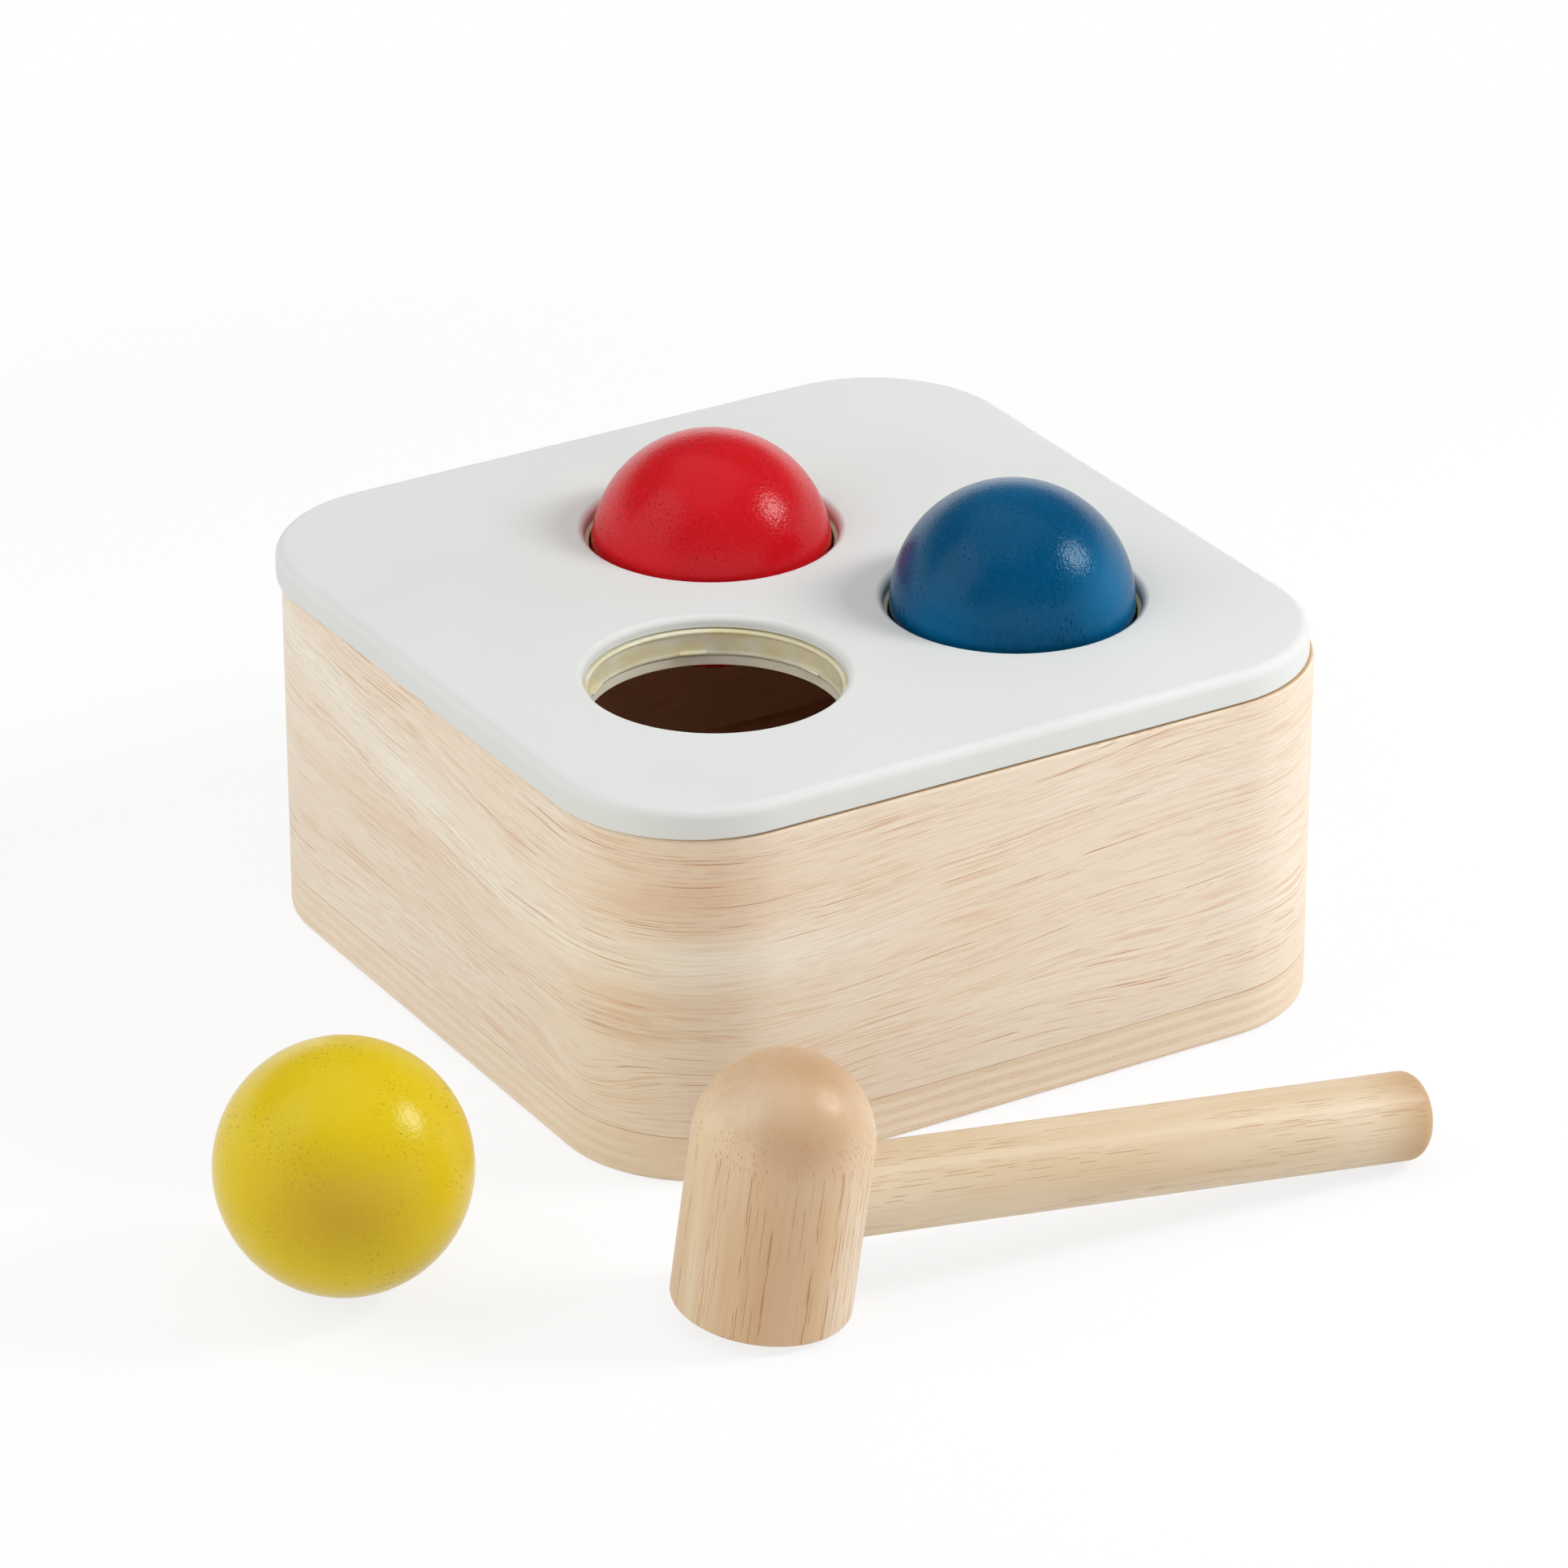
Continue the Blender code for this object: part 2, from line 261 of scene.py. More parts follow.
def vesselMarks(tree, point, marks):
    # vessels of an open-pored hardwood: thin tubes along x, broken into lengths,
    # so they show as dashes on a flank and as dots where the grain comes out
    along, side, height = addNode(tree, "SeparateXYZ", (point,)).node.outputs
    section = addNode(tree, "CombineXYZ", (side, height))
    cells = addNode(tree, "TexVoronoi", {"Vector": section, "Scale": 1 / marks["spacing"]},
                    voronoi_dimensions='2D').node.outputs
    chance = addNode(tree, "SeparateColor", (cells["Color"],)).node.outputs
    width = addNode(tree, "MapRange", (chance["Green"], 0, 1, *vesselShape["widths"]))
    bore = addNode(tree, "Math", (cells["Distance"], width), operation='DIVIDE')
    reach = marks["halfWidth"] / marks["spacing"]
    tube = addNode(tree, "MapRange", (bore, reach * vesselShape["softEdge"], reach, 1, 0))
    start = addNode(tree, "Math", (chance["Red"], vesselShape["shift"]), operation='MULTIPLY')
    run = addNode(tree, "Math", (along, 1 / marks["length"], start), operation='MULTIPLY_ADD')
    noise = addNode(tree, "TexNoise", {"W": run, "Scale": 1.0, "Detail": 1.0}, noise_dimensions='1D')
    edge = vesselShape["breakEdge"]
    broken = addNode(tree, "MapRange", (noise, marks["breaks"] - edge, marks["breaks"] + edge))
    groups = stretchedNoise(tree, point, marks["groups"], 1.0)
    level = marks["groupLevel"]
    edge = vesselShape["groupEdge"]
    grouped = addNode(tree, "MapRange", (groups, level - edge, level + edge, 0, marks["strength"]))
    dashes = addNode(tree, "Math", (tube, broken), operation='MULTIPLY')
    return addNode(tree, "Math", (dashes, grouped), operation='MULTIPLY')


print("tools ready")


# box walls: a veneered ring bent round the corners

walls = {
    "stock": 0.0095, "cornerRadius": 0.028, "cornerSegments": 24,
    "rimRound": 0.0008, "rimSegments": 4, "seam": 0.0001, "smoothAngle": 35,
    "pale": "#F6EFE0", "cream": "#F1E3CF", "tan": "#DBAF83", "vessel": "#B56C30",
    # inner: the inside faces' tone, partly bare wood and partly painted light, paler and redder for warm
    # light bounced round inside
    "inner": "#F8D2B8", "innerPaintedLightDepth": (8.0, 9.3), "innerPaintedLightShare": 0.8,
    "ply": "#E9D8BC", "crossPly": "#CFAF88", "plyThickness": 1.36,
    "fineMarks": {"length": 7.0, "spacing": 0.32, "halfWidth": 0.09, "breaks": 0.5, "strength": 0.32,
                  "groups": (45.0, 6.0, 6.0), "groupLevel": 0.44},
    "longMarks": {"length": 18.0, "spacing": 0.45, "halfWidth": 0.12, "breaks": 0.53, "strength": 0.7,
                  "groups": (36.0, 7.0, 6.0), "groupLevel": 0.53},
    # places in millimetres: along the wall from the front left corner, into it, and up
    "patches": [("#DBAF83", (5, 0, 57), (30, 40, 17), 0.5),
                ("#DBAF83", (-6, 0, 33), (28, 40, 9), 0.45),
                ("#DBAF83", (-85, 0, 36), (60, 40, 12), 0.15)],
    "fall": (-42, -150, 0, -9), "climb": (20, 130, 0, -7), "bendFrom": (14, 48),
    "wander": 2, "wanderSize": (60, 20, 24),
    "knot": ((-16, 0, 17), (24, 30, 8)), "knotLift": 4.0,
    "bandHeight": (-54, -130, 43.5, 62), "bandEnd": (62, 25), "bandWidth": 7.5, "bandShare": 0.95,
    "figureSize": (110, 30, 9), "streakSize": (18, 3, 0.42), "denseSize": (50, 10, 9),
    "fibreSize": (4, 1, 0.2), "roughness": (0.44, 0.58), "reliefDepth": 0.05 * mm,
}


def alongWall(x, y, straight, radius):
    # distance round the outline from the middle of the front left corner, and depth below the outer face
    corner = radius * math.pi / 2
    quarter = 2 * straight + corner
    for turn in range(4):
        if abs(x) <= straight + tiny and y < -straight:
            along = turn * quarter + corner / 2 + x + straight
            depth = straight + radius + y
            break
        if x > straight and y < -straight:
            angle = math.atan2(x - straight, -y - straight)
            along = turn * quarter + corner / 2 + 2 * straight + radius * angle
            depth = radius - math.hypot(x - straight, y + straight)
            break
        x, y = y, -x          # brings the next side round to the front
    return (along - 4 * quarter if along > 2 * quarter else along), depth


def layGrain(piece, side, radius):
    # the walls' own coordinates: along the grain, through the thickness, up
    straight = side / 2 - radius
    whole = 8 * straight + math.tau * radius
    mesh = piece.data
    layer = mesh.attributes.new("grain", 'FLOAT_VECTOR', 'CORNER')
    for face in mesh.polygons:
        points = [mesh.vertices[i].co for i in face.vertices]
        spots = [alongWall(p.x, p.y, straight, radius) for p in points]
        first = spots[0][0]
        for loop, point, (along, depth) in zip(face.loop_indices, points, spots):
            if along - first > whole / 2:
                along -= whole
            elif first - along > whole / 2:
                along += whole
            layer.data[loop].vector = (along, depth, point.z)


def rubberwoodVeneer():
    # sliced hardwood veneer under clear satin lacquer: cream ground with short tan streaks that run
    # almost level, fine reddish vessel lines in groups, one pale band, a soft sheen;
    # the sawn upper rim shows its plies
    material, tree, shader = startMaterial("rubberwoodVeneerSatin", 0.5, 1.5, 0.35)
    laid = addNode(tree, "Attribute", (), "Vector", attribute_name="grain")
    point = addNode(tree, "Mapping", {"Vector": laid, "Scale": (1000, 1000, 1000)})
    along, depth, up = addNode(tree, "SeparateXYZ", (point,)).node.outputs
    # the streaks fall along the left wall, climb along the front, and curl round one small knot
    fall = addNode(tree, "MapRange", (along, *walls["fall"]))
    climb = addNode(tree, "MapRange", (along, *walls["climb"]))
    bend = addNode(tree, "Math", (fall, climb))
    higher = addNode(tree, "MapRange", (up, *walls["bendFrom"]))
    figure = addNode(tree, "Math", (bend, higher, up), operation='MULTIPLY_ADD')
    drift = stretchedNoise(tree, point, walls["wanderSize"], 1.0)
    wander = addNode(tree, "MapRange", (drift, 0.2, 0.8, -walls["wander"], walls["wander"]))
    figure = addNode(tree, "Math", (figure, wander))
    knot = softSpot(tree, point, *walls["knot"])
    figure = addNode(tree, "Math", (knot, walls["knotLift"], figure), operation='MULTIPLY_ADD')
    flow = addNode(tree, "CombineXYZ", (along, depth, figure))
    # the pale band comes down the left wall and fades on the front
    bandHeight = addNode(tree, "MapRange", (along, *walls["bandHeight"]))
    wavy = addNode(tree, "Math", (up, wander))
    offBand = addNode(tree, "Math", (wavy, bandHeight), operation='SUBTRACT')
    offBand = addNode(tree, "Math", (offBand,), operation='ABSOLUTE')
    band = addNode(tree, "MapRange", (offBand, walls["bandWidth"], 1, 0, walls["bandShare"]))
    bandEnd = addNode(tree, "MapRange", (along, *walls["bandEnd"]))
    band = addNode(tree, "Math", (band, bandEnd), operation='MULTIPLY')
    broad = stretchedNoise(tree, flow, walls["figureSize"])
    pale = addNode(tree, "Math", (addNode(tree, "MapRange", (broad, 0.42, 0.72, 0, 0.6)), band))
    cream = tonePatches(tree, point, linear(walls["cream"]), walls["patches"])
    colour = addNode(tree, "MixRGB", (pale, cream, linear(walls["pale"])))
    streak = stretchedNoise(tree, flow, walls["streakSize"], 2.0, 0.6)
    crowd = stretchedNoise(tree, flow, walls["denseSize"], 1.0)
    dense = addNode(tree, "MapRange", (crowd, 0.38, 0.62, 0.3, 1.0))
    drawn = addNode(tree, "MapRange", (streak, 0.46, 0.74, 0, 0.75))
    drawn = addNode(tree, "Math", (drawn, dense), operation='MULTIPLY')
    colour = addNode(tree, "MixRGB", (drawn, colour, linear(walls["tan"])))
    fibre = stretchedNoise(tree, flow, walls["fibreSize"])
    colour = addNode(tree, "MixRGB", (addNode(tree, "MapRange", (fibre, 0.4, 0.75, 0, 0.22)), colour,
                                      linear(walls["tan"])))
    fine = vesselMarks(tree, flow, walls["fineMarks"])
    vessels = vesselMarks(tree, flow, walls["longMarks"])
    colour = addNode(tree, "MixRGB", (fine, colour, linear(walls["vessel"])))
    colour = addNode(tree, "MixRGB", (vessels, colour, linear(walls["vessel"])))
    # painted light: the inside faces turn paler and redder, partly bare wood and partly standing in for
    # warm light bounced round inside the box
    inside = addNode(tree, "MapRange", (depth, *walls["innerPaintedLightDepth"], 0, walls["innerPaintedLightShare"]))
    colour = addNode(tree, "MixRGB", (inside, colour, linear(walls["inner"])))
    # plies on the rim
    normal = addNode(tree, "TexCoord", (), "Normal")
    rim = addNode(tree, "MapRange", (addNode(tree, "SeparateXYZ", (normal,), 2), 0.75, 0.9))
    shifted = addNode(tree, "Math", (depth, 0.4))
    thick = walls["plyThickness"]
    ply = addNode(tree, "Math", (shifted, thick), operation='PINGPONG')
    cross = addNode(tree, "MapRange", (ply, thick * 0.46, thick * 0.54))
    plies = addNode(tree, "MixRGB", (cross, linear(walls["ply"]), linear(walls["crossPly"])))
    tree.links.new(addNode(tree, "MixRGB", (rim, colour, plies)), shader.inputs["Base Color"])
    dull = addNode(tree, "MapRange", (streak, 0.3, 0.7, *walls["roughness"]))
    tree.links.new(dull, shader.inputs["Roughness"])
    relief = addNode(tree, "Math", (fibre, 0.25), operation='MULTIPLY')
    relief = addNode(tree, "Math", (relief, vessels), operation='SUBTRACT')
    bump = addNode(tree, "Bump", {"Height": relief, "Strength": 0.2, "Distance": walls["reliefDepth"]})
    tree.links.new(bump, shader.inputs["Normal"])
    return material


def buildWalls():
    low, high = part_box("box_walls")
    low.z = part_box("base_panel")[1].z + walls["seam"]      # the joint shows as a hairline
    piece = addBlock("wallRing", low, high, walls["cornerRadius"], walls["cornerSegments"])
    pick(piece, 'FACE', lambda f: abs(f.normal.z) > 0.9)
    bpy.ops.mesh.inset(thickness=walls["stock"], use_even_offset=True)
    bpy.ops.mesh.bridge_edge_loops()
    pick(piece, 'EDGE', isRim(high.z))
    roundPicked(walls["rimRound"], walls["rimSegments"])
    closeUp(piece, walls["smoothAngle"])
    keepFlatsFlat(piece)
    layGrain(piece, high.x - low.x, walls["cornerRadius"])
    finishPiece(piece, rubberwoodVeneer(), "box", "box_walls", "box_wood")


buildWalls()


# base board

base = {
    "edgeRound": 0.0008, "edgeSegments": 3, "smoothAngle": 35,
    "plies": 7, "longGrain": "#F3E6D0", "endGrain": "#E9D1B4", "pit": "#D5B088",
    "sideContrast": 0.35, "frontContrast": 0.6,
    # face and deep: peach veneer, partly painted light, made paler and redder so the dim floor inside the
    # box renders warm
    "face": "#FACFB6", "deep": "#EFBDA0", "vessel": "#A87C54",
    "waver": 0.4, "waverSize": (30, 30, 6), "pitSize": (0.7, 0.7, 0.35), "brushSize": (7, 7, 0.35),
    "figureSize": (120, 9, 9), "roughness": (0.52, 0.68), "pitDepth": 0.05 * mm,
    "marks": {"length": 12.0, "spacing": 0.4, "halfWidth": 0.13, "breaks": 0.5, "strength": 0.6,
              "groups": (50.0, 8.0, 8.0), "groupLevel": 0.5},
}


def sawnPlywood(thickness):
    # plywood, sawn and sanded at its edge: plies with the grain along the edge are pale and plain,
    # those cut across it are tan and finely pitted, and the flat faces show quiet peach veneer
    material, tree, shader = startMaterial("plywoodSanded", 0.6, 1.5, 0.4)
    point = objectPoint(tree, (0, 0, 0))
    normal = addNode(tree, "TexCoord", (), "Normal")
    facing = [addNode(tree, "Math", (axis,), operation='ABSOLUTE')
              for axis in addNode(tree, "SeparateXYZ", (normal,)).node.outputs]
    ply = thickness / mm / base["plies"]
    height = addNode(tree, "SeparateXYZ", (point,), 2)
    drift = stretchedNoise(tree, point, base["waverSize"], 1.0)
    waver = addNode(tree, "MapRange", (drift, 0.2, 0.8, ply / 2 - base["waver"], ply / 2 + base["waver"]))
    band = addNode(tree, "Math", (addNode(tree, "Math", (height, waver)), ply), operation='PINGPONG')
    odd = addNode(tree, "MapRange", (band, ply * 0.4, ply * 0.6))
    ends = addNode(tree, "Mix", {0: odd, 2: facing[0], 3: facing[1]})
    ends = addNode(tree, "MapRange", (ends, 0.2, 0.85))
    contrast = addNode(tree, "MapRange", (facing[1], 0.3, 0.9, base["sideContrast"], base["frontContrast"]))
    ends = addNode(tree, "Math", (ends, contrast), operation='MULTIPLY')
    pits = stretchedNoise(tree, point, base["pitSize"])
    brush = stretchedNoise(tree, point, base["brushSize"])
    cut = addNode(tree, "MixRGB", (addNode(tree, "MapRange", (pits, 0.35, 0.7, 0, 0.5)),
                                   linear(base["endGrain"]), linear(base["pit"])))
    plain = addNode(tree, "MixRGB", (addNode(tree, "MapRange", (brush, 0.3, 0.7, 0, 0.6)),
                                     linear(base["longGrain"]), linear(base["endGrain"])))
    edge = addNode(tree, "MixRGB", (ends, plain, cut))
    broad = stretchedNoise(tree, point, base["figureSize"])
    # the peach veneer of the flat faces is partly painted light: paler and redder, so the dim floor inside
    # the box renders warm
    veneer = addNode(tree, "MixRGB", (addNode(tree, "MapRange", (broad, 0.35, 0.65)), linear(base["deep"]),
                                      linear(base["face"])))
    vessels = vesselMarks(tree, point, base["marks"])
    veneer = addNode(tree, "MixRGB", (vessels, veneer, linear(base["vessel"])))
    flat = addNode(tree, "MapRange", (facing[2], 0.8, 0.95))
    tree.links.new(addNode(tree, "MixRGB", (flat, edge, veneer)), shader.inputs["Base Color"])
    dull = addNode(tree, "MapRange", (pits, 0.3, 0.7, *base["roughness"]))
    tree.links.new(dull, shader.inputs["Roughness"])
    bump = addNode(tree, "Bump", {"Height": pits, "Strength": 0.25, "Distance": base["pitDepth"]})
    tree.links.new(bump, shader.inputs["Normal"])
    return material


def buildBase():
    low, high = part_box("base_panel")
    piece = addBlock("baseBoard", low, high, walls["cornerRadius"], walls["cornerSegments"])
    pick(piece, 'EDGE', isRim(low.z))
    roundPicked(base["edgeRound"], base["edgeSegments"])
    closeUp(piece, base["smoothAngle"])
    keepFlatsFlat(piece)
    finishPiece(piece, sawnPlywood(high.z - low.z), "box", "base_panel", "base_wood")


buildBase()


# lid: a rebated board with three stepped holes

lid = {
    "shown": 0.0059, "topRound": 0.0020, "topSegments": 8, "underRound": 0.0005, "underSegments": 3,
    "play": 0.0015, "smoothAngle": 35,
    "boreRadius": 0.0240, "boreRound": 0.0014, "boreLip": 0.0022, "grooveRadius": 0.0255,
    "ledgeRadius": 0.0234, "ringGap": 0.0001, "turnSegments": 128, "boreSegments": 8,
    "edgeArc": (97, 180),               # just past the top, so that the cut meets the face cleanly
    "paint": "#E2E4E2", "thin": "#DEE0DD", "bareWoodPaintedWarmLight": "#EFEBD9", "bareEdge": 0.3,
    "speck": "#A99C88", "speckSpacing": 15.0, "speckReach": (0.008, 0.02), "speckShare": 0.55,
    "cloudSize": (45, 45, 45), "peelSize": (0.9, 0.9, 0.9), "peelDepth": 0.03 * mm,
    "roughness": (0.57, 0.67),
}
ringNodes = {"back": "back_ring", "right": "right_ring", "left": "left_ring"}


def middle(node):
    low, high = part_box(node)
    return (low + high) / 2


def whiteSatinPaint():
    # sprayed and rubbed-down white paint on a board: an even satin surface with a faint orange peel,
    # slightly thinner and warmer here and there, a few dust specks, and bare wood below the rings,
    # whose pale warm tone is partly painted light, for warm light bounced up from inside the box
    material, tree, shader = startMaterial("whitePaintSatin", 0.62, 1.48, 0.22)
    centre = middle("lid")
    point = objectPoint(tree, centre)
    cloud = stretchedNoise(tree, point, lid["cloudSize"], 3.0)
    colour = addNode(tree, "MixRGB", (addNode(tree, "MapRange", (cloud, 0.4, 0.7)), linear(lid["paint"]),
                                      linear(lid["thin"])))
    apart = addNode(tree, "TexVoronoi", {"Vector": point, "Scale": 1 / lid["speckSpacing"]})
    speck = addNode(tree, "MapRange", (apart, *lid["speckReach"], lid["speckShare"], 0))
    colour = addNode(tree, "MixRGB", (speck, colour, linear(lid["speck"])))
    ledge = (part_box(ringNodes["left"])[0].z - lid["ringGap"] - centre.z) / mm
    height = addNode(tree, "SeparateXYZ", (point,), 2)
    # below the rings: bare wood, its pale warm tone partly painted light for warm light bounced up from
    # inside the box
    under = addNode(tree, "MapRange", (height, ledge + lid["bareEdge"], ledge - lid["bareEdge"]))
    colour = addNode(tree, "MixRGB", (under, colour, linear(lid["bareWoodPaintedWarmLight"])))
    tree.links.new(colour, shader.inputs["Base Color"])
    dull = addNode(tree, "MapRange", (cloud, 0.3, 0.7, *lid["roughness"]))
    tree.links.new(dull, shader.inputs["Roughness"])
    peel = stretchedNoise(tree, point, lid["peelSize"])
    bump = addNode(tree, "Bump", {"Height": peel, "Strength": 0.12, "Distance": lid["peelDepth"]})
    tree.links.new(bump, shader.inputs["Normal"])
    return material


def holeOutline(top, stock):
    # from above the lid down: round edge, bore, the ring's groove, the ledge under it
    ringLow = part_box(ringNodes["left"])[0].z - lid["ringGap"]
    centre = (lid["boreRadius"] + lid["boreRound"], top - lid["boreRound"])
    edge = list(arcPoints(centre, lid["boreRound"], *lid["edgeArc"], lid["boreSegments"]))
    yield edge[0][0], top + stock
    yield from edge
    yield lid["boreRadius"], top - lid["boreLip"]
    yield lid["grooveRadius"], top - lid["boreLip"]
    yield lid["grooveRadius"], ringLow
    yield lid["ledgeRadius"], ringLow
    yield lid["ledgeRadius"], top - 2 * stock


def buildLid():
    low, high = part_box("lid")
    flange = Vector((low.x, low.y, high.z - lid["shown"]))
    piece = addBlock("lidBoard", flange, high, walls["cornerRadius"], walls["cornerSegments"])
    pick(piece, 'EDGE', isRim(high.z))
    roundPicked(lid["topRound"], lid["topSegments"])
    pick(piece, 'EDGE', isRim(flange.z))
    roundPicked(lid["underRound"], lid["underSegments"])
    pick(piece, 'FACE', isLevelFace(flange.z, -1))
    rebate = walls["stock"] + lid["play"] - lid["underRound"]
    bpy.ops.mesh.inset(thickness=rebate, use_even_offset=True)
    bpy.ops.mesh.extrude_region_move(TRANSFORM_OT_translate={"value": (0, 0, low.z - flange.z)})
    closeUp(piece, lid["smoothAngle"])
    for side, node in ringNodes.items():
        cutter = turnOutline(side + "Hole", holeOutline(high.z, high.z - low.z), lid["turnSegments"])
        closeUp(cutter, lid["smoothAngle"])
        place = middle(node)
        setDown(cutter, (place.x, place.y, 0))
        combine(piece, cutter, 'DIFFERENCE')
    takeUp(piece)
    bpy.ops.object.shade_smooth_by_angle(angle=math.radians(lid["smoothAngle"]))
    keepFlatsFlat(piece)
    finishPiece(piece, whiteSatinPaint(), "lid", "lid", "lid_paint")


buildLid()


# retaining rings, one in each hole

ring = {
    "wallRadius": 0.0235, "beadRadius": 0.0231, "beadHeight": 0.0008, "lipHeight": 0.0012,
    "beadSegments": 8, "lipSegments": 4, "turnSegments": 128, "smoothAngle": 50,
    "nubs": 6, "nubStart": 10.0, "nubReach": 0.0225, "nubLength": 0.0052, "nubHeight": 0.0007,
    "nubAbove": 0.0007, "nubRound": 0.48, "nubSegments": 5, "nubSmoothAngle": 60, "ballGap": 0.0003,
    "rubber": "#E2D8AE", "cloudy": "#EAE6D0", "cloudSize": (6, 6, 3),
    "through": 0.3, "throughReach": (1.0, 0.9, 0.6), "throughDepth": 0.0015,
    "skinSize": (0.4, 0.4, 0.4), "roughness": (0.3, 0.42), "skinDepth": 0.03 * mm,
}


def milkyRubber():
    # moulded thermoplastic rubber: milky, a little see-through at the edges, smooth with a dull gloss
    material, tree, shader = startMaterial("milkyRubberMoulded", 0.36, 1.5, 0.4)
    point = objectPoint(tree, middle("lid"))
    cloud = stretchedNoise(tree, point, ring["cloudSize"])
    milky = addNode(tree, "MapRange", (cloud, 0.35, 0.65))
    colour = addNode(tree, "MixRGB", (milky, linear(ring["rubber"]), linear(ring["cloudy"])))
    tree.links.new(colour, shader.inputs["Base Color"])
    shader.inputs["Subsurface Weight"].default_value = ring["through"]
    shader.inputs["Subsurface Radius"].default_value = ring["throughReach"]
    shader.inputs["Subsurface Scale"].default_value = ring["throughDepth"]
    skin = stretchedNoise(tree, point, ring["skinSize"])
    dull = addNode(tree, "MapRange", (skin, 0.3, 0.7, *ring["roughness"]))
    tree.links.new(dull, shader.inputs["Roughness"])
    bump = addNode(tree, "Bump", {"Height": skin, "Strength": 0.1, "Distance": ring["skinDepth"]})
    tree.links.new(bump, shader.inputs["Normal"])
    return material


def ringOutline(low, high, outer):
    # down the outer side, then up the inner side: lip, wall, bead
    third = ring["lipHeight"] / 3
    bead = ring["beadHeight"] / 2
    yield outer, high
    yield outer, low
    yield from arcPoints((ring["beadRadius"] + third, low + third), third, 270, 180, ring["lipSegments"])
    yield ring["beadRadius"], low + 2 * third
    yield ring["wallRadius"], low + 3 * third
    yield ring["wallRadius"], high - ring["beadHeight"] * 1.05
    yield from arcPoints((ring["beadRadius"] + bead, high - bead), bead, 225, 90, ring["beadSegments"])
    yield outer, high


def nubReach(node, ballNode):
    # the nubs are pressed back where a ball sits in the ring
    if ballNode is None:
        return ring["nubReach"]
    ballLow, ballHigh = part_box(ballNode)
    radius = (ballHigh.z - ballLow.z) / 2
    below = (ballHigh.z + ballLow.z) / 2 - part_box(node)[0].z - ring["nubAbove"]
    return max(ring["nubReach"], math.sqrt(radius ** 2 - below ** 2) + ring["ballGap"])


def buildRing(name, node, ballNode, material):
    low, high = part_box(node)
    centre = (low + high) / 2
    outer = (high.x - low.x) / 2
    piece = turnOutline(name, ringOutline(low.z, high.z, outer), ring["turnSegments"], None, None)
    closeUp(piece, ring["smoothAngle"])
    inward = ring["wallRadius"] - nubReach(node, ballNode)
    size = Vector((2 * inward, ring["nubLength"], ring["nubHeight"]))
    for i in range(ring["nubs"]):
        clearSelection()
        bpy.ops.mesh.primitive_cube_add(size=1, scale=size)
        bpy.ops.object.transform_apply(location=True, rotation=True, scale=True)
        nub = nameNew("nub")
        startEdit(nub)
        bpy.ops.mesh.select_all(action='SELECT')
        roundPicked(min(size) * ring["nubRound"], ring["nubSegments"])
        closeUp(nub, ring["nubSmoothAngle"])
        turn = math.radians(ring["nubStart"] + i * 360 / ring["nubs"])
        setDown(nub, (ring["wallRadius"] * math.cos(turn), ring["wallRadius"] * math.sin(turn),
                      low.z + ring["nubAbove"]), (0, 0, turn))
        combine(piece, nub, 'UNION')
    takeUp(piece)
    bpy.ops.object.shade_smooth_by_angle(angle=math.radians(ring["smoothAngle"]))
    keepFlatsFlat(piece)
    setDown(piece, (centre.x, centre.y, 0))
    finishPiece(piece, material, "lid", node, "ring_rubber")


rubber = milkyRubber()
buildRing("backRing", "back_ring", "red_ball", rubber)
buildRing("rightRing", "right_ring", "blue_ball", rubber)
buildRing("leftRing", "left_ring", None, rubber)


# balls

ball = {
    "cuts": 47,
    "finishes": {
        "red_ball": {"piece": "redBall", "slot": "red_paint",
                     "paint": "#C8121B", "thin": "#CF1E26", "sheen": "#FFF4F4",
                     "pore": "#5A080D", "poreShare": 0.75, "grain": (-0.44, -0.75, 0.49),
                     "patches": [("#B40F16", (-9, -19, 4), (16, 16, 12), 0.4)]},
        "blue_ball": {"piece": "blueBall", "slot": "blue_paint",
                      "paint": "#00466C", "thin": "#00527E", "sheen": "#D2F4FF",
                      "pore": "#011A2E", "poreShare": 0.9, "grain": (-0.10, -0.12, 0.99),
                      # painted light on the blue ball: paler teal on its lit right side and on its top, and
                      # a painted highlight, a broad glow, on its left side
                      "patches": [("#00699A", (10, -19, 7), (15, 15, 17), 0.75),
                                  ("#005F90", (-21, -7, 1), (14, 14, 13), 0.6),
                                  ("#00699A", (0, 4, 22), (16, 16, 9), 0.35)]},
        "yellow_ball": {"piece": "yellowBall", "slot": "yellow_paint",
                        "paint": "#DFC218", "thin": "#E3C920", "sheen": "#FFFFFF",
                        "pore": "#A0741A", "poreShare": 0.6, "grain": (-0.60, -0.62, 0.50),
                        "patches": [("#BE9430", (-11.5, -19.4, 2.5), (25, 25, 18), 0.62)]},
    },
    "marks": {"length": 4.0, "spacing": 0.95, "halfWidth": 0.17, "breaks": 0.46,
              "groups": (16.0, 8.0, 8.0), "groupLevel": 0.52},
    "fibreSize": (7, 0.8, 0.8), "satinSize": (0.7, 0.6, 0.6), "reliefDepth": 0.11 * mm,
    "roughness": (0.16, 0.24),
}


